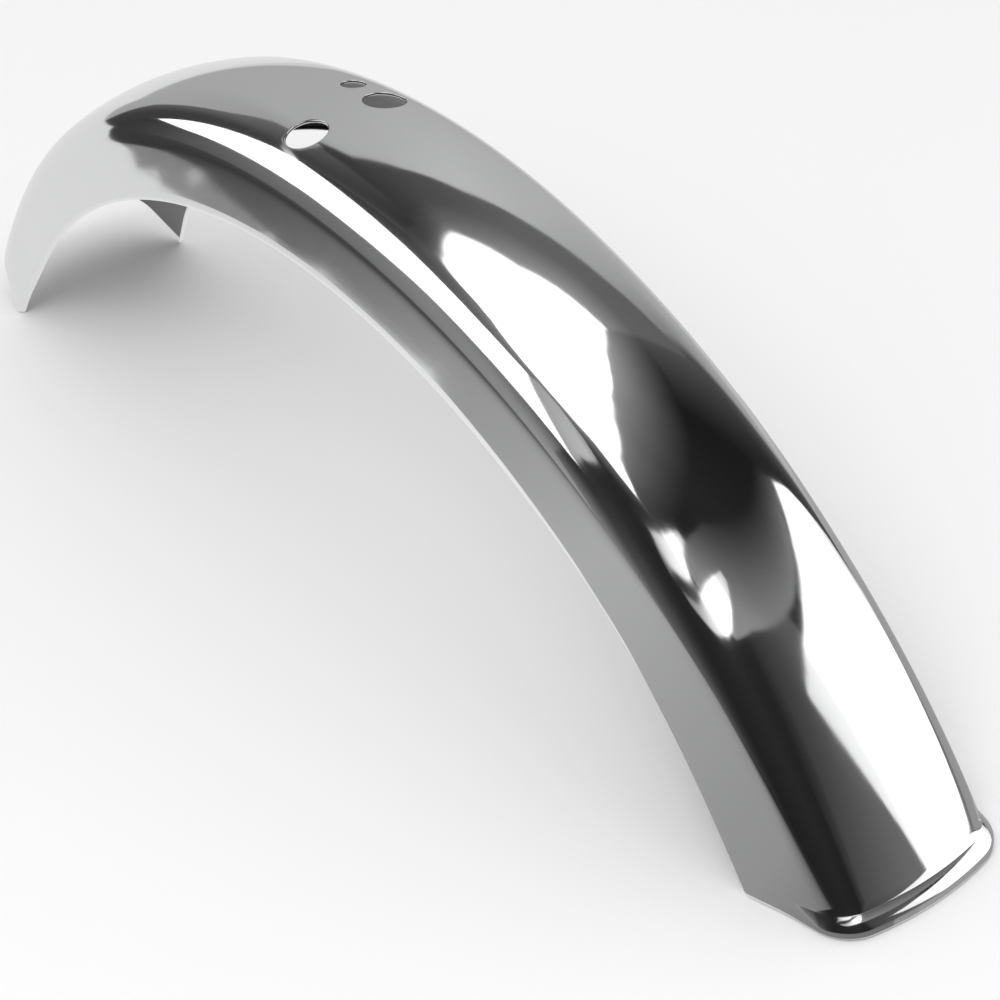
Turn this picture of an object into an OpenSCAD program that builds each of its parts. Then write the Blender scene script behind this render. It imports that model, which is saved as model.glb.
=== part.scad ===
// Rear mudguard of a moped: one pressed sheet, rolled round the wheel.
// X points to the rear, Y to the right, Z up. The guard stands on the four corners of its walls,
// and the origin is on that plane, at the middle of the guard's length and width.
// It is drawn round the wheel's axle and then set down. Angles along the guard are counted at
// the axle, from the rear (+X) over the top to the front.
// A section is drawn on its right half as [distance from the middle plane, distance from the axle].

/* [Sheet] */
// Thickness of the steel sheet
sheet = 1.0; // [0.8:0.1:1.5]
// Outer radius of the crown from the wheel's axle
crown_r = 300; // [290:1:330]
// Depth from the top of the crown down to the wall's edge
depth = 36; // [32:0.1:42]
// Angle from the top of the guard to each corner of the walls
half_span = 58; // [52:0.1:62]

/* [Middle section] */
// Width over the wall edges
mouth_w = 73.8; // [68:0.1:80]
// Radius of the crown across the guard
crown_bow = 79.5; // [70:0.5:120]
// Outer radius of the shoulders
shoulder_r = 17; // [10:0.5:19]
// Angle at which the walls spread towards their edges
splay = 9.5; // [2:0.5:12]

/* [Edge of the walls] */
// Outer radius of the turned-in edge
bend_r = 2.2; // [1.8:0.1:2.6]
// Width of the flange that is turned in, measured from the outside of the wall
flange_w = 2.8; // [2.7:0.1:5]

/* [Rear end] */
// Length of the rear end, over which the section squares up, in degrees
rear_len = 21; // [16:0.5:26]
// Width over the wall edges at the rear
rear_mouth_w = 78.7; // [74:0.1:84]
// Radius of the crown across the rear
rear_bow = 126; // [90:1:150]
// Outer radius of the rear shoulders
rear_shoulder_r = 13; // [10:0.5:17]
// Angle at which the rear walls spread
rear_splay = 16; // [6:0.5:18]
// How far the crown runs past the rear corners of the walls, in degrees
rear_overrun = 4.2; // [2:0.1:5]

/* [Lip] */
// Length of the pressed lip along the guard
lip_len = 9.5; // [8:0.5:12]
// Height of the lip's crest over the crown
lip_h = 1.8; // [1:0.1:3]
// Height above the wall's edge at which the lip starts to rise from the wall
lip_foot = 12; // [4:0.5:14]
// Height above the wall's edge at which the lip is full
lip_full = 28; // [22:0.5:30]

/* [Front end] */
// Length of the front end, over which the walls open, in degrees
front_len = 8; // [6:0.5:12]
// Width over the wall edges at the front
front_mouth_w = 79.3; // [74:0.1:84]
// Radius of the crown across the front
front_bow = 120; // [90:1:140]
// Outer radius of the front shoulders
front_shoulder_r = 22; // [16:0.5:24]
// Angle at which the front walls spread
front_splay = 14; // [2:0.5:15]
// How far the crown stops short of the front points of the walls, in degrees
front_setback = 0.9; // [0:0.1:3]

/* [Holes] */
// Diameter of the pair of large holes
pair_d = 15; // [12:0.5:17]
// Distance of each large hole from the middle, across the crown
pair_y = 15.7; // [13:0.1:18]
// Distance of the pair ahead of the top, along the crown
pair_ahead = 12; // [0:0.5:40]
// Diameter of the small hole
small_d = 9; // [6:0.5:11]
// Distance of the small hole to the right of the middle
small_y = 16.2; // [12:0.1:18]
// Distance of the small hole ahead of the pair, along the crown
small_ahead = 19.5; // [17:0.5:30]

/* [Hidden] */
$fn = 180;
// Room on both sides of the sheet for a punch
punch = 6;
// Steps round a half section: crown, shoulder, wall and bend
crown_steps = 6;
shoulder_steps = 6;
wall_steps = 2;
bend_steps = 4;
// Steps along the guard: lip, rest of the rear end, middle and front end
lip_steps = 8;
rear_steps = 12;
middle_steps = 32;
front_steps = 6;
// The lip's crest lies at this share of its length from the rim
crest_at = 0.36;
// Height of the rim, as a share of the crest's
rim_share = 0.5;

edge_r = crown_r - depth;
rear_corner = 90 - half_span;
front_corner = 90 + half_span;
rear_joint = rear_corner + rear_len;
front_joint = front_corner - front_len;
mm_per_degree = crown_r * PI / 180;
lip_angle = lip_len / mm_per_degree;
pair_angle = 90 + pair_ahead / mm_per_degree;
small_angle = pair_angle + small_ahead / mm_per_degree;

// The three sections: [crown radius across, shoulder radius, splay, half width at the edge]
middle = [crown_bow, shoulder_r, splay, mouth_w / 2];
rear = [rear_bow, rear_shoulder_r, rear_splay, rear_mouth_w / 2];
front = [front_bow, front_shoulder_r, front_splay, front_mouth_w / 2];

// Direction at an angle from straight up, towards the wall
function dir(a) = [sin(a), cos(a)];
function bow_centre(s) = [0, crown_r - s[0]];
// The bend's centre, from which its lowest point touches the edge radius
function bend_centre(s) = [s[3] - bend_r, edge_r + bend_r];
// Angle of the wall's outward normal from straight up
function wall_normal(s) = 90 - s[2];
// The shoulder's centre lies on a line parallel to the wall and on a circle inside the crown's
function shoulder_centre(s) =
    let (
        along = [-sin(s[2]), cos(s[2])],
        start = bend_centre(s) + (bend_r - s[1]) * dir(wall_normal(s)),
        from = start - bow_centre(s),
        reach = s[0] - s[1],
        b = from * along,
        t = -b + sqrt(b * b - from * from + reach * reach)
    ) start + t * along;
// Angle from straight up at which the crown meets the shoulder
function crown_end(s) = let (v = shoulder_centre(s) - bow_centre(s)) atan2(v[0], v[1]);

function arc_points(centre, r, from, to, steps) =
    [for (i = [0:steps]) centre + r * dir(from + (to - from) * i / steps)];
// Points of a half section, from the top of the crown to the end of the flange.
// With inset 0 they are on the outside of the sheet, with inset sheet on the inside.
function half_section(s, inset) =
    let (
        top = crown_end(s),
        side = wall_normal(s),
        crown = arc_points(bow_centre(s), s[0] - inset, 0, top, crown_steps),
        shoulder = arc_points(shoulder_centre(s), s[1] - inset, top, side, shoulder_steps),
        bend = arc_points(bend_centre(s), bend_r - inset, side, 180, bend_steps),
        foot = bend[0],
        heel = shoulder[shoulder_steps],
        wall = [for (i = [1:wall_steps - 1]) heel + (foot - heel) * i / wall_steps],
        tip = [s[3] - flange_w, edge_r + inset]
    ) concat(crown, [for (i = [1:shoulder_steps]) shoulder[i]], wall, bend, [tip]);
function smooth(t) = let (u = max(0, min(1, t))) u * u * (3 - 2 * u);
function mix(a, b, t) = [for (i = [0:len(a) - 1]) a[i] * (1 - t) + b[i] * t];
// Outward unit normal of a half section at each of its points
function normal_at(points, i) =
    let (
        a = points[max(i - 1, 0)],
        b = points[min(i + 1, len(points) - 1)],
        d = (b - a) / norm(b - a)
    ) i == 0 ? [0, 1] : [-d[1], d[0]];
// Height of the lip at a distance from the rim: a half-round bead with a soft foot
function lip_profile(d) =
    let (crest = crest_at * lip_len)
    d >= lip_len ? 0
    : d < crest ? rim_share + (1 - rim_share) * sin(90 * d / crest)
    : smooth((lip_len - d) / (lip_len - crest));
// The lip is full over the crown and runs out down the wall
function lip_share(r) = smooth((r - edge_r - lip_foot) / (lip_full - lip_foot));

// A ring is one closed loop round the sheet: outside from the left wall to the right, then inside back
function ring(outer, inner) =
    let (n = len(outer) - 1)
    concat(
        [for (i = [n:-1:0]) [-outer[i][0], outer[i][1]]],
        [for (i = [1:n]) outer[i]],
        [for (i = [n:-1:0]) inner[i]],
        [for (i = [1:n]) [-inner[i][0], inner[i][1]]]
    );
// A point of a section, placed at an angle round the axle
function placed(p, a) = [p[1] * cos(a), p[0], p[1] * sin(a)];

// The angle at which an end is cut, at a distance from the axle
function cut_angle(r, corner, overrun) = corner + overrun * (r - edge_r) / depth;
function rear_cut(r) = cut_angle(r, rear_corner, -rear_overrun);
function front_cut(r) = cut_angle(r, front_corner, -front_setback);

// Stations of the rear loft, as the distance from the rim in degrees at the crown
rear_stations = concat(
    [for (i = [0:lip_steps]) lip_angle * i / lip_steps],
    [for (i = [1:rear_steps]) lip_angle + (rear_len + rear_overrun - lip_angle) * i / rear_steps]
);
function rear_ring(d) =
    let (
        k = d / (rear_len + rear_overrun),
        w = smooth(1 - k),
        plain = [for (inset = [0, sheet]) mix(half_section(middle, inset), half_section(rear, inset), w)],
        rise = lip_h * lip_profile(d * mm_per_degree),
        lift = [for (i = [0:len(plain[0]) - 1])
            rise * lip_share(plain[0][i][1]) * normal_at(plain[0], i)],
        outer = plain[0] + lift,
        inner = plain[1] + lift,
        loop = ring(outer, inner),
        flat = ring(plain[0], plain[1])
    ) [for (i = [0:len(loop) - 1])
        let (cut = rear_cut(flat[i][1])) placed(loop[i], cut + (rear_joint - cut) * k)];
// The middle keeps one section
function middle_ring(k) =
    [for (p = ring(half_section(middle, 0), half_section(middle, sheet)))
        placed(p, rear_joint + (front_joint - rear_joint) * k)];
function front_ring(k) =
    let (
        w = smooth(k),
        half = [for (inset = [0, sheet]) mix(half_section(middle, inset), half_section(front, inset), w)],
        loop = ring(half[0], half[1])
    ) [for (p = loop) placed(p, front_joint + (front_cut(p[1]) - front_joint) * k)];

// A closed tube through a list of loops, with the two ends closed by strips across the sheet
module loft(loops) {
    n = len(loops[0]);
    m = len(loops);
    walls = [for (j = [0:m - 2], i = [0:n - 1])
        let (a = j * n + i, b = j * n + (i + 1) % n) [a, a + n, b + n, b]];
    caps = [for (i = [0:n / 2 - 2]) [i, i + 1, n - 2 - i, n - 1 - i]];
    last = [for (f = caps) [f[3], f[2], f[1], f[0]] + (m - 1) * n * [1, 1, 1, 1]];
    polyhedron([for (l = loops) each l], concat(walls, caps, last), convexity = 6);
}

// A hole punched square to the crown, at an angle along the guard and a distance from its middle
module hole(angle, y, d)
    rotate([0, -angle, 0])
        translate([crown_r - crown_bow, 0, 0])
            rotate([0, 0, asin(y / crown_bow)])
                translate([crown_bow - punch, 0, 0])
                    rotate([0, 90, 0]) cylinder(h = 2 * punch, d = d);

// The whole sheet as loops from the rear rim to the front rim
loops = concat(
    [for (d = rear_stations) rear_ring(d)],
    [for (i = [1:middle_steps - 1]) middle_ring(i / middle_steps)],
    [for (i = [0:front_steps]) front_ring(i / front_steps)]
);
// The point under the guard that becomes the origin, seen from the axle
along = [for (l = loops, p = l) p[0]];
level = [for (l = loops, p = l) p[2]];
stand = [(min(along) + max(along)) / 2, 0, min(level)];

module mudguard()
    color("silver")
        translate(-stand)
            difference() {
                loft(loops);
                for (side = [-1, 1]) hole(pair_angle, side * pair_y, pair_d);
                hole(small_angle, small_y, small_d);
            }

mudguard();
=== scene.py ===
import bpy
import numpy as np
from mathutils import Matrix, Vector


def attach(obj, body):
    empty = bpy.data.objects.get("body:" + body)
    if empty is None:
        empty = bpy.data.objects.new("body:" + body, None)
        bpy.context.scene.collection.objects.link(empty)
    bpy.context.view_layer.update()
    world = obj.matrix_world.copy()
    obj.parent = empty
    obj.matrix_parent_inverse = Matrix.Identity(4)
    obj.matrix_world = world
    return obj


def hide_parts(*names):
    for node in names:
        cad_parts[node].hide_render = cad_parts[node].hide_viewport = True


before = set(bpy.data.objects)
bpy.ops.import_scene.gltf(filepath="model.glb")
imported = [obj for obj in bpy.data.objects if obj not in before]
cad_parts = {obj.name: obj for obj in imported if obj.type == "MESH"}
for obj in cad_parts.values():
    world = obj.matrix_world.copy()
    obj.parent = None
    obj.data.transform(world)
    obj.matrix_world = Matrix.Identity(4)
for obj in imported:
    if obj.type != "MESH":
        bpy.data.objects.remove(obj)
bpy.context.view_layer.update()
print("frame loaded")

# the pressed sheet, in millimetres and degrees, drawn round the wheel's axle and then set down
sheet = {
    "thickness": 1.0, "crownRadius": 299.94, "depth": 35.94, "halfSpan": 57.98,
    "bendRadius": 2.2, "flangeWidth": 2.8,
    "standPoint": (7.1422, 0.0, 139.8987),  # the origin, seen from the axle
    "middle": {"bow": 79.5, "shoulder": 17.0, "splay": 9.5, "halfWidth": 36.9},
    "rear": {"bow": 126.0, "shoulder": 13.0, "splay": 16.0, "halfWidth": 39.35, "length": 21.0,
             "overrun": 4.2},
    "front": {"bow": 120.0, "shoulder": 22.0, "splay": 14.0, "halfWidth": 39.6, "length": 8.0,
              "setback": 0.9},
    "pointsAcross": {"crown": 22, "shoulder": 14, "wall": 9, "bend": 7, "flange": 3, "tip": 4},
    "rowsAlong": {"lip": 18, "rear": 52, "middle": 186, "front": 26, "rim": 3},
    "rimFlat": 0.35,  # share of a rim step that stays flat, so that no row has zero thickness
}
# the lip's crest and flank: places as shares of its length or height, foot and full above the wall's edge
lip = {"length": 8.0, "height": 2.0, "foot": 12.0, "full": 28.0,
       "crestAt": 0.36, "rimShare": 0.42, "flank": 1.3}
holes = {
    "big": {"radius": 7.5, "across": 15.7, "ahead": 12.0},
    "small": {"radius": 4.5, "across": 16.2, "ahead": 31.5},
    "edgeRound": 0.25, "margin": 2.4, "rings": 6, "ringSpread": 1.2, "edgeSteps": 3, "settleSteps": 14,
}

edgeRadius = sheet["crownRadius"] - sheet["depth"]
degree = np.pi / 180
rearCorner, frontCorner = 90 - sheet["halfSpan"], 90 + sheet["halfSpan"]
rearJoint = rearCorner + sheet["rear"]["length"]
frontJoint = frontCorner - sheet["front"]["length"]
mmPerDegree = sheet["crownRadius"] * degree


def direction(angle):
    # unit vector at an angle from straight up, towards the wall
    return np.stack([np.sin(angle), np.cos(angle)], axis=-1)


def centres(form):
    # the shoulder's centre is where a line parallel to the wall meets a circle inside the crown's
    crownCentre = np.array([0, sheet["crownRadius"] - form["bow"]])
    bendCentre = np.array([form["halfWidth"] - sheet["bendRadius"], edgeRadius + sheet["bendRadius"]])
    splay = form["splay"] * degree
    upWall = np.array([-np.sin(splay), np.cos(splay)])
    start = bendCentre + (sheet["bendRadius"] - form["shoulder"]) * direction(np.pi / 2 - splay)
    reach = form["bow"] - form["shoulder"]
    offset = start - crownCentre
    b = offset @ upWall
    shoulderCentre = start + (-b + np.sqrt(b * b - offset @ offset + reach * reach)) * upWall
    v = shoulderCentre - crownCentre
    return crownCentre, shoulderCentre, bendCentre, np.arctan2(v[0], v[1]), np.pi / 2 - splay


def halfSection(form, inset):
    # crown arc, shoulder arc, straight wall, bend and flange, each tangent to the next,
    # as points of (distance across, distance from the axle)
    n = sheet["pointsAcross"]
    crownCentre, shoulderCentre, bendCentre, crownEnd, wallNormal = centres(form)
    share = {k: np.arange(1, n[k] + 1)[:, None] / n[k] for k in n}
    top = crownCentre + (form["bow"] - inset) * direction(np.array([0.0]))
    crown = crownCentre + (form["bow"] - inset) * direction(share["crown"][:, 0] * crownEnd)
    turn = crownEnd + share["shoulder"][:, 0] * (wallNormal - crownEnd)
    shoulder = shoulderCentre + (form["shoulder"] - inset) * direction(turn)
    foot = bendCentre + (sheet["bendRadius"] - inset) * direction(wallNormal)
    wall = shoulder[-1] + share["wall"] * (foot - shoulder[-1])
    turn = wallNormal + share["bend"][:, 0] * (np.pi - wallNormal)
    bend = bendCentre + (sheet["bendRadius"] - inset) * direction(turn)
    reach = form["halfWidth"] - sheet["flangeWidth"] + sheet["thickness"] / 2
    flange = bend[-1] + share["flange"] * (np.array([reach, edgeRadius + inset]) - bend[-1])
    return np.concatenate([top, crown, shoulder, wall, bend, flange])


def smooth(t):
    # three t squared minus two t cubed, held between 0 and 1
    t = np.clip(t, 0, 1)
    return t * t * (3 - 2 * t)


def lipRise(d):
    # height at a distance from the rim: a quarter sine up to the crest, then one minus a power of the
    # way down, which makes a nearly straight flank and a crisp foot
    crest = lip["crestAt"] * lip["length"]
    front = lip["rimShare"] + (1 - lip["rimShare"]) * np.sin(np.pi / 2 * np.clip(d / crest, 0, 1))
    back = 1 - np.clip((d - crest) / (lip["length"] - crest), 0, 1) ** lip["flank"]
    return lip["height"] * np.where(d < crest, front, back)


def rows():
    # distance of each rear row from the rim in degrees, share of each stretch, and share of the full
    # thickness, which follows a half circle over the last half millimetre of both ends
    n = sheet["rowsAlong"]
    turn = np.pi / 2 * np.arange(n["rim"], 0, -1) / (n["rim"] + sheet["rimFlat"])
    rimDistance = (1 - np.sin(turn)) * sheet["thickness"] / 2 / mmPerDegree
    rearReach = sheet["rear"]["length"] + sheet["rear"]["overrun"]
    lipReach = lip["length"] / mmPerDegree
    rearDistance = np.concatenate([
        rimDistance,
        lipReach * np.arange(1, n["lip"]) / n["lip"],
        lipReach + (rearReach - lipReach) * np.arange(n["rear"]) / n["rear"]])
    middleShare = np.arange(n["middle"]) / n["middle"]
    frontReach = sheet["front"]["length"] - sheet["front"]["setback"]
    fullShare = 1 - sheet["thickness"] / 2 / mmPerDegree / frontReach
    frontShare = np.concatenate([
        fullShare * np.arange(n["front"] + 1) / n["front"],
        1 - rimDistance[::-1] / frontReach])
    full = len(rearDistance) + len(middleShare) + len(frontShare) - 2 * n["rim"]
    thick = np.concatenate([np.cos(turn), np.ones(full), np.cos(turn[::-1])])
    return rearDistance, rearDistance / rearReach, middleShare, frontShare, thick


def sheetRows():
    # the outer and inner points of each row, and their angles round the axle; the ends are cut on a
    # slant, so a point's angle runs from its own cut to the joint in proportion to the row's share
    rearDistance, k, middleShare, frontShare, thick = rows()
    sides = {}
    for name, inset in (("outer", 0.0), ("inner", sheet["thickness"])):
        forms = {part: halfSection(sheet[part], inset) for part in ("middle", "rear", "front")}
        w = smooth(1 - k)[:, None, None]
        rear = forms["middle"] * (1 - w) + forms["rear"] * w
        middle = np.repeat(forms["middle"][None], len(middleShare), axis=0)
        w = smooth(frontShare)[:, None, None]
        front = forms["middle"] * (1 - w) + forms["front"] * w
        cut = rearCorner - sheet["rear"]["overrun"] * (rear[..., 1] - edgeRadius) / sheet["depth"]
        rearAngle = cut + (rearJoint - cut) * k[:, None]
        middleAngle = (rearJoint + (frontJoint - rearJoint) * middleShare)[:, None]
        middleAngle = np.broadcast_to(middleAngle, middle.shape[:2])
        cut = frontCorner - sheet["front"]["setback"] * (front[..., 1] - edgeRadius) / sheet["depth"]
        frontAngle = frontJoint + (cut - frontJoint) * frontShare[:, None]
        plain = np.concatenate([rear, middle, front])
        sides[name] = (plain, np.concatenate([rearAngle, middleAngle, frontAngle]))
    # the lip lifts both sides along the outer side's normal, and runs out down the walls
    plain = sides["outer"][0]
    slope = np.gradient(plain, axis=1)
    normal = np.stack([-slope[..., 1], slope[..., 0]], axis=-1)
    normal /= np.linalg.norm(normal, axis=-1, keepdims=True)
    normal[:, 0] = (0, 1)
    rise = np.zeros(len(plain))
    rise[:len(rearDistance)] = lipRise(rearDistance * mmPerDegree)
    share = smooth((plain[..., 1] - edgeRadius - lip["foot"]) / (lip["full"] - lip["foot"]))
    lift = (rise[:, None] * share)[..., None] * normal
    return {name: (points + lift, angle) for name, (points, angle) in sides.items()}, thick


def closedLoops():
    # each row becomes one loop: outer side of the right half, half circle round the free edge,
    # inner side, then the mirror image back; with each point's angle and distance run round the sheet
    rowsOf, thick = sheetRows()
    (outer, angle), (inner, innerAngle) = rowsOf["outer"], rowsOf["inner"]
    mid, half = (outer + inner) / 2, (outer - inner) / 2 * thick[:, None, None]
    midAngle = (angle + innerAngle) / 2
    tipCount = sheet["pointsAcross"]["tip"]
    s = (np.pi * np.arange(1, tipCount + 1) / (tipCount + 1))[None, :, None]
    reach = np.linalg.norm(half[:, -1], axis=-1)[:, None, None]
    tip = mid[:, -1:] + half[:, -1:] * np.cos(s) + reach * np.sin(s) * np.array([-1.0, 0.0])
    right = np.concatenate([mid + half, tip, (mid - half)[:, ::-1]], axis=1)
    tipAngle = np.repeat(midAngle[:, -1:], tipCount, axis=1)
    rightAngle = np.concatenate([midAngle, tipAngle, midAngle[:, ::-1]], axis=1)
    step = np.linalg.norm(np.diff(mid, axis=1), axis=-1)
    run = np.concatenate([np.zeros((len(mid), 1)), np.cumsum(step, axis=1)], axis=1)
    rightRun = np.concatenate([run, np.repeat(run[:, -1:], tipCount, axis=1), run[:, ::-1]], axis=1)
    loop = np.concatenate([right, (right * np.array([-1.0, 1.0]))[:, -2:0:-1]], axis=1)
    loopAngle = np.concatenate([rightAngle, rightAngle[:, -2:0:-1]], axis=1)
    loopRun = np.concatenate([rightRun, -rightRun[:, -2:0:-1]], axis=1)
    # share of the dull underside, darkened with painted shade: none outside, rising round the free edge to
    # all of it inside
    under = np.clip((np.arange(right.shape[1]) - run.shape[1] - 1) / 2, 0, 1)
    loopUnder = np.broadcast_to(np.concatenate([under, under[-2:0:-1]]), loopRun.shape)
    return loop, loopAngle, loopRun, loopUnder, right.shape[1]


def dropOnto(points, axis, inset):
    # slides each point along the axis until its distance from the section's arcs is zero
    crownCentre, shoulderCentre, _, crownEnd, _ = centres(sheet["middle"])
    points = points.copy()
    bow, shoulder = sheet["middle"]["bow"], sheet["middle"]["shoulder"]
    shoulderHeight = shoulderCentre[1] - crownCentre[1]
    for _ in range(holes["settleSteps"]):
        height = np.hypot(points[:, 0], points[:, 2]) - crownCentre[1]
        across = np.abs(points[:, 1])
        overCrown = np.hypot(across, height) - bow
        overShoulder = np.hypot(across - shoulderCentre[0], height - shoulderHeight) - shoulder
        gap = np.where(np.arctan2(across, height) < crownEnd, overCrown, overShoulder)
        points -= (gap + inset)[:, None] * axis
    return points


def punchedHole(hole, side, points, angles, halfCount, keep, firstNew):
    # clears a block of the grid round the hole, and fills it with rings that shrink from the block's
    # border to the hole's edge, turn over it on a quarter circle and come back under the sheet
    count = len(points[0])
    centreAngle = 90 + hole["ahead"] / mmPerDegree
    tilt = np.arcsin(side * hole["across"] / sheet["middle"]["bow"])
    a = centreAngle * degree
    up = np.array([np.cos(a), 0, np.sin(a)])
    axis = up * np.cos(tilt) + np.array([0, np.sin(tilt), 0])
    alongAxis = np.array([-np.sin(a), 0, np.cos(a)])
    acrossAxis = np.cross(axis, alongAxis)
    centre = up * (sheet["crownRadius"] - sheet["middle"]["bow"]) + axis * sheet["middle"]["bow"]
    # the block's first and last row and column
    reach = hole["radius"] + holes["margin"]
    middleRow = np.argmin(np.abs(angles[:, 0] - centreAngle))
    columns = sheet["pointsAcross"]["crown"] + sheet["pointsAcross"]["shoulder"] // 2
    profile = points[middleRow, :columns, 1]
    j0 = np.argmin(np.abs(profile - (hole["across"] - reach)))
    j1 = np.argmin(np.abs(profile - (hole["across"] + reach * np.cos(tilt))))
    i0 = np.argmin(np.abs(angles[:, 0] - (centreAngle - reach / mmPerDegree)))
    i1 = np.argmin(np.abs(angles[:, 0] - (centreAngle + reach / mmPerDegree)))
    walkI = [np.full(j1 - j0, i0), np.arange(i0, i1), np.full(j1 - j0, i1), np.arange(i1, i0, -1)]
    walkJ = [np.arange(j0, j1), np.full(i1 - i0, j1), np.arange(j1, j0, -1), np.full(i1 - i0, j0)]
    walkI, walkJ = np.concatenate(walkI), np.concatenate(walkJ)
    total = len(walkI)
    border = {}
    for layer, c in (("outer", walkJ), ("inner", halfCount - 1 - walkJ)):
        border[layer] = walkI * count + (c if side > 0 else (count - c) % count)
    for c in (np.arange(j0, j1), halfCount - 1 - np.arange(j0 + 1, j1 + 1)):
        c = c if side > 0 else (count - c - 1) % count
        keep[np.ix_(np.arange(i0, i1), c)] = False
    flat = points.reshape(-1, 3)
    away = flat[border["outer"]] - centre
    turn = np.arctan2(away @ acrossAxis, away @ alongAxis)

    def onCircle(radius):
        return centre + radius * (np.cos(turn)[:, None] * alongAxis + np.sin(turn)[:, None] * acrossAxis)

    rounded = holes["edgeRound"]
    shares = (np.arange(1, holes["rings"] + 1) / holes["rings"]) ** holes["ringSpread"]
    rim = onCircle(hole["radius"] + rounded)
    ladders = {}
    for layer, inset in (("outer", 0.0), ("inner", sheet["thickness"])):
        away = flat[border[layer]] - centre
        edge = centre + (away @ alongAxis)[:, None] * alongAxis + (away @ acrossAxis)[:, None] * acrossAxis
        ladders[layer] = [dropOnto(edge * (1 - f) + rim * f, axis, inset) for f in shares]
    topHeight, lowHeight = (((ladders[layer][-1] - centre) @ axis)[:, None] for layer in ("outer", "inner"))
    wallTop, wallLow = [], []
    for t in np.pi / 2 * np.arange(1, holes["edgeSteps"] + 1) / holes["edgeSteps"]:
        ring = onCircle(hole["radius"] + rounded * (1 - np.sin(t)))
        wallTop.append(ring + (topHeight - rounded * (1 - np.cos(t))) * axis)
        wallLow.append(ring + (lowHeight + rounded * (1 - np.cos(t))) * axis)
    ladder = ladders["outer"] + wallTop + wallLow[::-1] + ladders["inner"][::-1]
    rings = np.concatenate(ladder)
    index = [firstNew + k * total + np.arange(total) for k in range(len(ladder))]
    index = [border["outer"]] + index + [border["inner"]]
    quads = []
    for lower, upper in zip(index[:-1], index[1:]):
        quad = np.stack([lower, upper, np.roll(upper, -1), np.roll(lower, -1)], axis=1)
        quads.append(quad if side < 0 else quad[:, ::-1])
    ringAngle = np.arctan2(rings[:, 2], rings[:, 0]) / degree
    ringUnder = np.repeat(np.arange(len(ladder)) >= len(ladder) - holes["rings"], total).astype(float)
    return rings, ringAngle, ringUnder, np.concatenate(quads)


def makeSheet():
    # loops placed round the axle, with the holes punched, both ends closed and the origin set
    loop, loopAngle, loopRun, loopUnder, halfCount = closedLoops()
    a = loopAngle * degree
    points = np.stack([loop[..., 1] * np.cos(a), loop[..., 0], loop[..., 1] * np.sin(a)], axis=-1)
    rowCount, count = points.shape[:2]
    keep = np.ones((rowCount - 1, count), bool)
    allPoints, allRun, allAngle = [points.reshape(-1, 3)], [loopRun.ravel()], [loopAngle.ravel()]
    allUnder, patches = [loopUnder.ravel()], []
    firstNew = rowCount * count
    for hole, side in ((holes["big"], 1), (holes["big"], -1), (holes["small"], 1)):
        patch = punchedHole(hole, side, points, loopAngle, halfCount, keep, firstNew)
        rings, ringAngle, ringUnder, patchQuads = patch
        allPoints.append(rings)
        allRun.append(rings[:, 1])
        allAngle.append(ringAngle)
        allUnder.append(ringUnder)
        patches.append(patchQuads)
        firstNew += len(rings)
    i, j = np.meshgrid(np.arange(rowCount - 1), np.arange(count), indexing="ij")
    row, nextRow, nextJ = i * count, (i + 1) * count, (j + 1) % count
    quads = np.stack([row + j, row + nextJ, nextRow + nextJ, nextRow + j], axis=-1)
    # each end is closed by strips across the sheet, from the outer side to the inner
    k = np.arange(halfCount // 2 - 1)
    strip = np.stack([k, halfCount - 1 - k, halfCount - 2 - k, k + 1], axis=1)
    mirrored = ((count - strip) % count)[:, ::-1]
    caps = np.concatenate([strip, mirrored])
    lastRow = (rowCount - 1) * count
    faces = np.concatenate([quads[keep]] + patches + [caps, lastRow + caps[:, ::-1]])
    vertices = (np.concatenate(allPoints) - np.array(sheet["standPoint"])) / 1000
    along = np.concatenate(allAngle) * mmPerDegree / 1000
    run = np.concatenate(allRun) / 1000
    mesh = bpy.data.meshes.new("polishedGuard")
    mesh.vertices.add(len(vertices))
    mesh.vertices.foreach_set("co", vertices.ravel())
    mesh.loops.add(faces.size)
    mesh.loops.foreach_set("vertex_index", faces.ravel().astype(np.int32))
    mesh.polygons.add(len(faces))
    mesh.polygons.foreach_set("loop_start", np.arange(0, faces.size, 4, dtype=np.int32))
    mesh.polygons.foreach_set("use_smooth", np.ones(len(faces), bool))
    mesh.update(calc_edges=True)
    grain = mesh.attributes.new("alongSheet", "FLOAT_VECTOR", "POINT")
    grain.data.foreach_set("vector", np.stack([along, run, np.concatenate(allUnder)], axis=-1).ravel())
    mesh.validate(verbose=True)
    guard = bpy.data.objects.new("polishedGuard", mesh)
    bpy.context.collection.objects.link(guard)
    print("sheet made:", len(vertices), "points,", len(faces), "faces")
    return guard


# the finish: polished outside, bare and dull underneath, where the very dark colour is partly painted shade;
# scales are per metre along and round the sheet
chrome = {
    "colour": (0.805, 0.81, 0.81, 1), "roughness": (0.045, 0.10),
    # the underside's colour: bare dull steel, made much darker as painted shade
    "underColourAndPaintedShade": (0.13, 0.13, 0.13, 1), "underRoughness": 0.3,
    "hazeScale": (14, 60, 1), "hazeRange": (0.35, 0.75),
    "waveScale": (18, 30, 1), "waveHeight": 0.00002,
    "lineScale": (60, 2600, 1), "lineHeight": 0.000002,
}


def node(tree, kind, place, **values):
    made = tree.nodes.new(kind)
    made.location = place
    for name, value in values.items():
        if name in made.inputs:
            made.inputs[name].default_value = value
        else:
            setattr(made, name, value)
    return made


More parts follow.
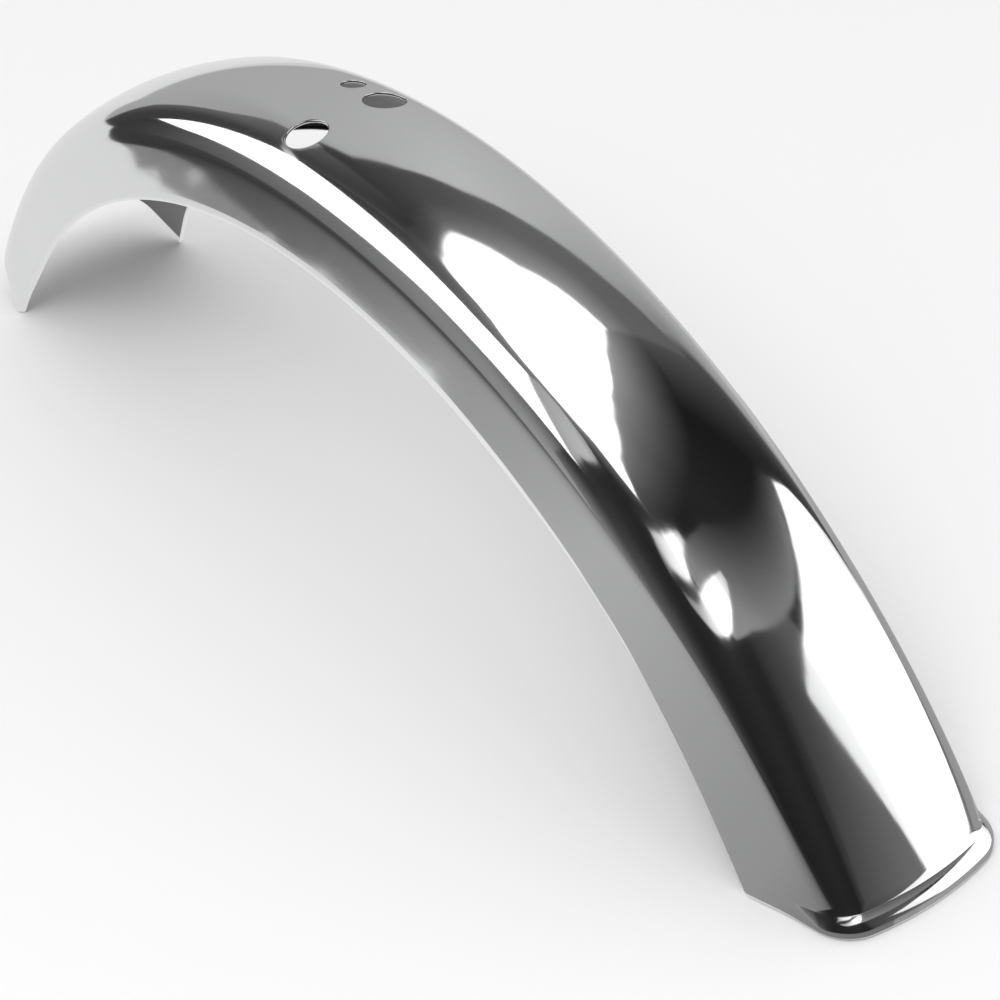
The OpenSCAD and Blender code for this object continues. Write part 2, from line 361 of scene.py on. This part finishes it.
def mirrorPolish():
    material = bpy.data.materials.new("mirrorPolishedSteel")
    material.use_nodes = True
    tree = material.node_tree
    link = tree.links.new
    shader = tree.nodes["Principled BSDF"]
    shader.inputs["Metallic"].default_value = 1.0
    place = node(tree, "ShaderNodeAttribute", (-1200, 0), attribute_name="alongSheet")
    # the third value marks the underside, whose dark colour is partly its bare finish and partly painted
    # shade; of a colour Mix, sockets 6 and 7 are the colours
    parts = node(tree, "ShaderNodeSeparateXYZ", (-1000, 400))
    colour = node(tree, "ShaderNodeMix", (-500, 500), data_type="RGBA")
    colour.inputs[6].default_value = chrome["colour"]
    colour.inputs[7].default_value = chrome["underColourAndPaintedShade"]
    link(place.outputs["Vector"], parts.inputs["Vector"])
    link(parts.outputs["Z"], colour.inputs[0])
    link(colour.outputs[2], shader.inputs["Base Color"])
    # haze left by polishing, in long soft patches along the sheet
    patch = node(tree, "ShaderNodeMapping", (-1000, 120), Scale=chrome["hazeScale"])
    haze = node(tree, "ShaderNodeTexNoise", (-800, 120), Scale=1.0, Detail=5.0, Roughness=0.6)
    amount = node(tree, "ShaderNodeMapRange", (-600, 120))
    amount.inputs["From Min"].default_value, amount.inputs["From Max"].default_value = chrome["hazeRange"]
    amount.inputs["To Min"].default_value, amount.inputs["To Max"].default_value = chrome["roughness"]
    link(place.outputs["Vector"], patch.inputs["Vector"])
    link(patch.outputs["Vector"], haze.inputs["Vector"])
    link(haze.outputs["Fac"], amount.inputs["Value"])
    # the underside is rougher
    dull = node(tree, "ShaderNodeMath", (-300, 200), operation="MULTIPLY_ADD")
    dull.inputs[1].default_value = chrome["underRoughness"]
    link(parts.outputs["Z"], dull.inputs[0])
    link(amount.outputs["Result"], dull.inputs[2])
    link(dull.outputs["Value"], shader.inputs["Roughness"])
    # slow waves of the rolled sheet and fine polishing lines
    slow = node(tree, "ShaderNodeMapping", (-1000, -160), Scale=chrome["waveScale"])
    waves = node(tree, "ShaderNodeTexNoise", (-800, -160), Scale=1.0, Detail=1.0)
    waveBump = node(tree, "ShaderNodeBump", (-500, -160), Distance=chrome["waveHeight"], Strength=1.0)
    link(place.outputs["Vector"], slow.inputs["Vector"])
    link(slow.outputs["Vector"], waves.inputs["Vector"])
    link(waves.outputs["Fac"], waveBump.inputs["Height"])
    fine = node(tree, "ShaderNodeMapping", (-1000, -400), Scale=chrome["lineScale"])
    lines = node(tree, "ShaderNodeTexNoise", (-800, -400), Scale=1.0, Detail=2.0)
    lineBump = node(tree, "ShaderNodeBump", (-300, -300), Distance=chrome["lineHeight"], Strength=1.0)
    link(place.outputs["Vector"], fine.inputs["Vector"])
    link(fine.outputs["Vector"], lines.inputs["Vector"])
    link(lines.outputs["Fac"], lineBump.inputs["Height"])
    link(waveBump.outputs["Normal"], lineBump.inputs["Normal"])
    link(lineBump.outputs["Normal"], shader.inputs["Normal"])
    return material


guard = makeSheet()
guard.data.materials.append(mirrorPolish())
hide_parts("mudguard")
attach(guard, "root")
print("guard dressed")

# floor, light and what the polish reflects, in metres
studio = {
    "floorSize": 8.0, "floorColour": (0.93, 0.93, 0.93, 1), "worldLight": 0.85,
    "keyPower": 12, "keyPlace": (0.9, -1.0, 1.6), "keyAim": (0, 0, 0.08), "keySize": 1.0,
    "centre": (0.0, 0.0, 0.05), "reach": 1.7, "screenGap": 0.012, "matHeight": 0.0015,
    "screenStep": 2.0, "matStep": 0.05, "screenRows": 25,
    "reflectance": 0.8, "whiteFrom": 0.995, "whiteLight": 1.7,
}

# Softboxes, screens and cloths stand round the guard, out of the picture, and show in its polish.
# Each is a strip of stations: azimuth from -Y towards +X, lowest and highest elevation in degrees, and
# the brightness at both, as it shows in the polish. A later one stands in front of an earlier one.
screens = {
    "ceilingBox": [(-180, 52, 90, 1, 1), (180, 52, 90, 1, 1)],
    "darkRoom": [
        (-180, -2, 50, 0.3, 0.38), (-150, -2, 55, 0.3, 0.38), (-120, -2, 58, 0.28, 0.28),
        (-100, -2, 62, 0.2, 0.2), (-70, -2, 65, 0.2, 0.25), (-30, -2, 68, 0.36, 0.38),
        (0, -2, 64, 0.4, 0.42), (34, -2, 60, 0.15, 0.15), (90, -2, 60, 0.12, 0.12),
        (125, -2, 60, 0.12, 0.14), (160, -2, 52, 0.1, 0.1), (180, -2, 50, 0.3, 0.3)],
    "ceilingEdge": [
        (-180, 49, 58, 0.38, 0.55), (-165, 50, 61, 0.38, 0.58), (-150, 54, 65, 0.38, 0.55),
        (-120, 57, 65, 0.28, 0.42), (-110, 59, 68, 0.22, 0.33), (-100, 61, 71, 0.2, 0.3),
        (-70, 64, 74, 0.25, 0.42), (-50, 66, 77, 0.32, 0.45), (-30, 67, 77, 0.38, 0.5),
        (-10, 65, 73, 0.42, 0.5), (0, 63, 71, 0.42, 0.5), (34, 59, 70, 0.15, 0.5),
        (50, 58, 70, 0.15, 0.45), (60, 58, 66.5, 0.15, 0.35), (70, 58, 63, 0.16, 0.25),
        (80, 58, 66, 0.13, 0.3), (90, 59, 70, 0.12, 0.45), (120, 59, 73, 0.14, 0.5),
        (140, 56, 72, 0.14, 0.55), (160, 51, 68, 0.1, 0.6), (170, 49, 65, 0.15, 0.6),
        (180, 49, 59, 0.3, 0.5)],
    "greyWall": [
        (-180, -3, 35, 0.3, 0.25), (-175, -3, 37, 0.62, 0.5), (-165, -3, 41, 0.64, 0.6),
        (-150, -3, 45, 0.66, 0.68), (-135, -3, 48, 0.64, 0.72), (-120, -3, 47.5, 0.62, 0.68),
        (-108, -3, 45, 0.62, 0.66), (-104, -3, 38, 0.62, 0.6), (-96, -3, 8, 0.62, 0.6),
        (-88, -3, -1, 0.62, 0.6)],
    "frontScreen": [
        (-103, 30, 64, 0.4, 0.2), (-96, 9, 64, 0.38, 0.2), (-88, -1, 64, 0.24, 0.24),
        (-79, -2, 64, 0.2, 0.3)],
    "frontLedge": [(-104, 38, 41, 0.6, 0.6), (-90, 37.5, 39.5, 0.5, 0.5), (-78, 38, 41, 0.9, 0.9)],
    "lowWall": [
        (-79, -3, 12, 0.2, 0.2), (-70, -3, 14, 0.22, 0.3), (-62, -3, 16, 0.3, 0.4),
        (-50, -3, 20, 0.38, 0.45), (-40, -3, 24, 0.42, 0.45), (-28, -3, 30, 0.5, 0.5),
        (-18, -3, 30, 0.58, 0.45), (-8, -3, 30, 0.6, 0.36), (0, -3, 30, 0.45, 0.3)],
    "softboxNear": [
        (-79, 9, 40, 1, 1), (-70, 10.5, 47, 1, 1), (-60, 15, 53, 1, 1), (-50, 19, 57, 1, 1),
        (-40, 22, 59, 1, 1), (-28, 27.5, 60.5, 1, 1), (-10, 29, 62, 1, 1), (2, 29, 63, 1, 1)],
    "paleCloth": [
        (1, 30, 62, 0.6, 0.6), (8, 37, 67, 0.7, 0.62), (20, 49, 67, 0.75, 0.65), (30, 58, 63, 0.6, 0.6)],
    "nearScreen": [
        (-12, -3, 10, 0.5, 0.4), (-3, -3, 26, 0.45, 0.18), (2, -3, 30, 0.38, 0.14),
        (10, -3, 42, 0.34, 0.14), (20, -3, 51, 0.2, 0.15), (30, -3, 58, 0.12, 0.15),
        (70, -3, 60, 0.14, 0.17), (94, -3, 58, 0.12, 0.15), (98, -3, 45, 0.22, 0.2)],
    "rearScreen": [
        (98, -3, 42, 0.3, 0.2), (104, -3, 42, 0.36, 0.24), (112, -3, 42, 0.42, 0.3),
        (120, -3, 42, 0.42, 0.3)],
    "lampGlow": [
        (80, 50, 57, 0.5, 0.5), (90, 43, 56, 0.55, 0.45), (100, 42, 56, 0.55, 0.33),
        (112, 39, 55, 0.5, 0.22), (126, 36, 50, 0.5, 0.15), (150, 33, 40, 0.45, 0.1),
        (160, 31, 36, 0.3, 0.05)],
    "upperLamp": [
        (38, 40, 41.5, 0.3, 0.3), (44, 44, 48, 0.6, 0.6), (50, 46.5, 53, 0.9, 0.7),
        (60, 48.5, 55.5, 1, 0.85), (75, 51, 57.5, 1, 1), (88, 55, 58, 1, 1), (93, 56, 57.5, 0.8, 0.8)],
    "lowerLamp": [
        (44, 39.3, 41, 0.5, 0.5), (60, 41, 45, 0.9, 0.7), (75, 43.3, 49, 1, 1), (90, 44, 50.5, 1, 1),
        (96, 46, 50.5, 1, 1), (102, 48.5, 50, 0.8, 0.8)],
    "softboxFar": [
        (108, 29.5, 30.5, 0.9, 0.9), (110, 24, 31.5, 0.9, 0.9), (112.5, 17, 32, 0.93, 0.95),
        (115, 9, 33, 0.95, 0.96), (118, -3, 33.5, 1, 1), (130, -3, 34, 1, 1), (145, -3, 33, 1, 1),
        (160, -3, 30.5, 1, 1), (166, -3, 20, 1, 1), (171, -3, 11, 0.9, 0.9), (174, -3, 5, 0.8, 0.8)],
}

# Flat sheets lie just above the floor and show only in the polish: grey sheets round the pale paper sheet
# the guard stands on, and that paper sheet, painted darker near the guard as a painted contact shadow.
# Stations: x, lowest and highest y in metres, and the brightness at both.
mats = {
    "greyMat": [
        (-2, -2.5, -0.35, 0.42, 0.2), (-0.9, -2, -0.25, 0.42, 0.2), (-0.5, -2, -0.2, 0.42, 0.2),
        (-0.38, -2, -0.17, 0.42, 0.28), (-0.25, -2, -0.25, 0.42, 0.44), (-0.13, -2, -0.24, 0.46, 0.56),
        (0.05, -2, -0.14, 0.5, 0.66), (0.1, -2, -0.1, 0.48, 0.64), (0.13, -2, -0.03, 0.48, 0.62),
        (0.22, -2, -0.03, 0.42, 0.56), (0.27, -2, 0, 0.3, 0.4), (0.33, -2, 0, 0.14, 0.16),
        (1.8, -2, 0, 0.14, 0.14)],
    "rearMat": [(0.3, 0, 2.5, 0.4, 0.5), (1.8, 0, 2.5, 0.35, 0.5)],
    # the paper darkens near the guard, towards x = 0.3: a painted contact shadow on the floor, seen in the
    # polish
    "paperWithPaintedShadow": [
        (-2, -0.35, 0.6, 0.82, 0.8), (-0.5, -0.2, 0.45, 0.82, 0.82), (-0.25, -0.25, 0.35, 0.82, 0.84),
        (-0.13, -0.24, 0.3, 0.88, 0.88), (0, -0.17, 0.2, 0.9, 0.9), (0.05, -0.14, 0.05, 0.92, 0.75),
        (0.1, -0.1, 0.045, 0.93, 0.7), (0.13, -0.03, 0.045, 0.8, 0.65), (0.22, -0.03, 0.045, 0.7, 0.6),
        (0.3, 0, 0.045, 0.5, 0.55)],
    "farMat": [
        (-2, 0.6, 2.5, 0.78, 0.62), (-0.5, 0.45, 2.5, 0.76, 0.62), (-0.13, 0.3, 2.5, 0.74, 0.6),
        (0, 0.2, 2.5, 0.7, 0.6), (0.05, 0.05, 2.5, 0.62, 0.6), (0.3, 0.045, 2.5, 0.55, 0.6)],
}


def plainMaterial(name, colour):
    material = bpy.data.materials.new(name)
    material.use_nodes = True
    shader = material.node_tree.nodes["Principled BSDF"]
    shader.inputs["Base Color"].default_value = colour
    shader.inputs["Roughness"].default_value = 0.9
    shader.inputs["Specular IOR Level"].default_value = 0.1
    return material


def makeFloor():
    s = studio["floorSize"] / 2
    mesh = bpy.data.meshes.new("paleFloor")
    mesh.from_pydata([(-s, -s, 0), (s, -s, 0), (s, s, 0), (-s, s, 0)], [], [(0, 1, 2, 3)])
    floor = bpy.data.objects.new("paleFloor", mesh)
    bpy.context.collection.objects.link(floor)
    mesh.materials.append(plainMaterial("paleFloor", studio["floorColour"]))


def screenMaterial():
    # shines as brightly as each point's value says, and is no lamp for anything but the polish
    material = bpy.data.materials.new("screenLight")
    material.use_nodes = True
    tree = material.node_tree
    tree.nodes.clear()
    glow = node(tree, "ShaderNodeAttribute", (-300, 0), attribute_name="glow")
    light = node(tree, "ShaderNodeEmission", (-100, 0))
    out = node(tree, "ShaderNodeOutputMaterial", (100, 0))
    tree.links.new(glow.outputs["Fac"], light.inputs["Strength"])
    tree.links.new(light.outputs[0], out.inputs["Surface"])
    material.cycles.emission_sampling = "NONE"
    return material


def shownLight(shown):
    # the light that shows as this value: the display's curve over the polish's reflectance; white runs over
    light = ((shown + 0.055) / 1.055) ** 2.4 / studio["reflectance"]
    return np.where(shown > studio["whiteFrom"], studio["whiteLight"], light)


def makeScreen(name, stations, material, order=0, flat=False):
    # a strip through its stations, on a sphere round the guard or flat on the floor
    stations = np.array(stations, float)
    step = studio["matStep"] if flat else studio["screenStep"]
    along = np.arange(stations[0, 0], stations[-1, 0], step)
    along = np.unique(np.concatenate([along, stations[:, 0]]))[:, None]
    low, high, lowShown, highShown = (np.interp(along, stations[:, 0], column) for column in stations.T[1:])
    v = np.linspace(0, 1, studio["screenRows"])[None]
    u, w = np.broadcast_to(along, (len(along), v.size)), low * (1 - v) + high * v
    if flat:
        points = np.stack([u, w, np.full_like(w, studio["matHeight"])], axis=-1)
    else:
        a, e = u * degree, w * degree
        outward = np.stack([np.cos(e) * np.sin(a), -np.cos(e) * np.cos(a), np.sin(e)], axis=-1)
        points = np.array(studio["centre"]) + (studio["reach"] - studio["screenGap"] * order) * outward
    glow = shownLight(lowShown * (1 - v) + highShown * v)
    i, j = np.meshgrid(np.arange(len(along) - 1), np.arange(v.size - 1), indexing="ij")
    k = (i * v.size + j).ravel()
    quads = np.stack([k, k + v.size, k + v.size + 1, k + 1], axis=1)
    mesh = bpy.data.meshes.new(name)
    mesh.from_pydata(points.reshape(-1, 3).tolist(), [], quads.tolist())
    mesh.attributes.new("glow", "FLOAT", "POINT").data.foreach_set("value", glow.ravel().astype(np.float32))
    mesh.materials.append(material)
    screen = bpy.data.objects.new(name, mesh)
    bpy.context.collection.objects.link(screen)
    screen.visible_camera = screen.visible_diffuse = False
    screen.visible_transmission = screen.visible_shadow = False


def makeWorld():
    # white where the camera, metal or glass look past the floor, and a soft grey light elsewhere
    world = bpy.data.worlds.new("studioAir")
    bpy.context.scene.world = world
    world.use_nodes = True
    tree = world.node_tree
    tree.nodes.clear()
    link = tree.links.new
    path = node(tree, "ShaderNodeLightPath", (-600, 200))
    seen = node(tree, "ShaderNodeMath", (-400, 200), operation="MAXIMUM")
    seenAll = node(tree, "ShaderNodeMath", (-200, 200), operation="MAXIMUM")
    light = node(tree, "ShaderNodeBackground", (-200, 0), Color=(1, 1, 1, 1), Strength=studio["worldLight"])
    white = node(tree, "ShaderNodeBackground", (-200, -150), Color=(1, 1, 1, 1), Strength=1.0)
    mixed = node(tree, "ShaderNodeMixShader", (100, 0))
    out = node(tree, "ShaderNodeOutputWorld", (300, 0))
    link(path.outputs["Is Camera Ray"], seen.inputs[0])
    link(path.outputs["Is Glossy Ray"], seen.inputs[1])
    link(seen.outputs[0], seenAll.inputs[0])
    link(path.outputs["Is Transmission Ray"], seenAll.inputs[1])
    link(seenAll.outputs[0], mixed.inputs[0])
    link(light.outputs[0], mixed.inputs[1])
    link(white.outputs[0], mixed.inputs[2])
    link(mixed.outputs[0], out.inputs[0])


def makeKey():
    # one soft square lamp for the floor's shadow, which doesn't show in the polish
    lamp = bpy.data.lights.new("softKey", "AREA")
    lamp.shape = "RECTANGLE"
    lamp.size = lamp.size_y = studio["keySize"]
    lamp.energy = studio["keyPower"]
    lit = bpy.data.objects.new("softKey", lamp)
    lit.location = studio["keyPlace"]
    beam = Vector(studio["keyAim"]) - Vector(studio["keyPlace"])
    lit.rotation_euler = beam.to_track_quat("-Z", "Y").to_euler()
    lit.visible_glossy = False
    bpy.context.collection.objects.link(lit)


# the photograph's camera: angles in degrees, distance and aim in metres, lens and sensor in millimetres
view = {
    "azimuth": 56.700, "elevation": 36.407, "roll": -6.235, "distance": 0.95570,
    "aim": (0.048097, 0.0, 0.036358), "lens": 101.265, "sensor": 36, "nearest": 0.01,
}


def makeCamera():
    # back points from the aim to the camera; azimuth turns it from -Y towards +X, and roll turns the picture
    a, e, r = (view[k] * degree for k in ("azimuth", "elevation", "roll"))
    back = Vector((np.sin(a) * np.cos(e), -np.cos(a) * np.cos(e), np.sin(e)))
    level = Vector((np.cos(a), np.sin(a), 0))
    right = level * np.cos(r) + back.cross(level) * np.sin(r)
    up = back.cross(right)
    camera = bpy.data.cameras.new("photoCamera")
    camera.lens = view["lens"]
    camera.sensor_width = view["sensor"]
    camera.clip_start = view["nearest"]
    holder = bpy.data.objects.new("photoCamera", camera)
    turned = Matrix((right, up, back)).transposed()
    holder.matrix_world = Matrix.Translation(Vector(view["aim"]) + back * view["distance"]) @ turned.to_4x4()
    bpy.context.collection.objects.link(holder)
    bpy.context.scene.camera = holder


makeFloor()
makeWorld()
makeCamera()
screenLight = screenMaterial()
for order, (name, stations) in enumerate(screens.items()):
    makeScreen(name, stations, screenLight, order)
for name, stations in mats.items():
    makeScreen(name, stations, screenLight, flat=True)
makeKey()
bpy.context.scene.view_settings.view_transform = "Standard"
print("studio made")
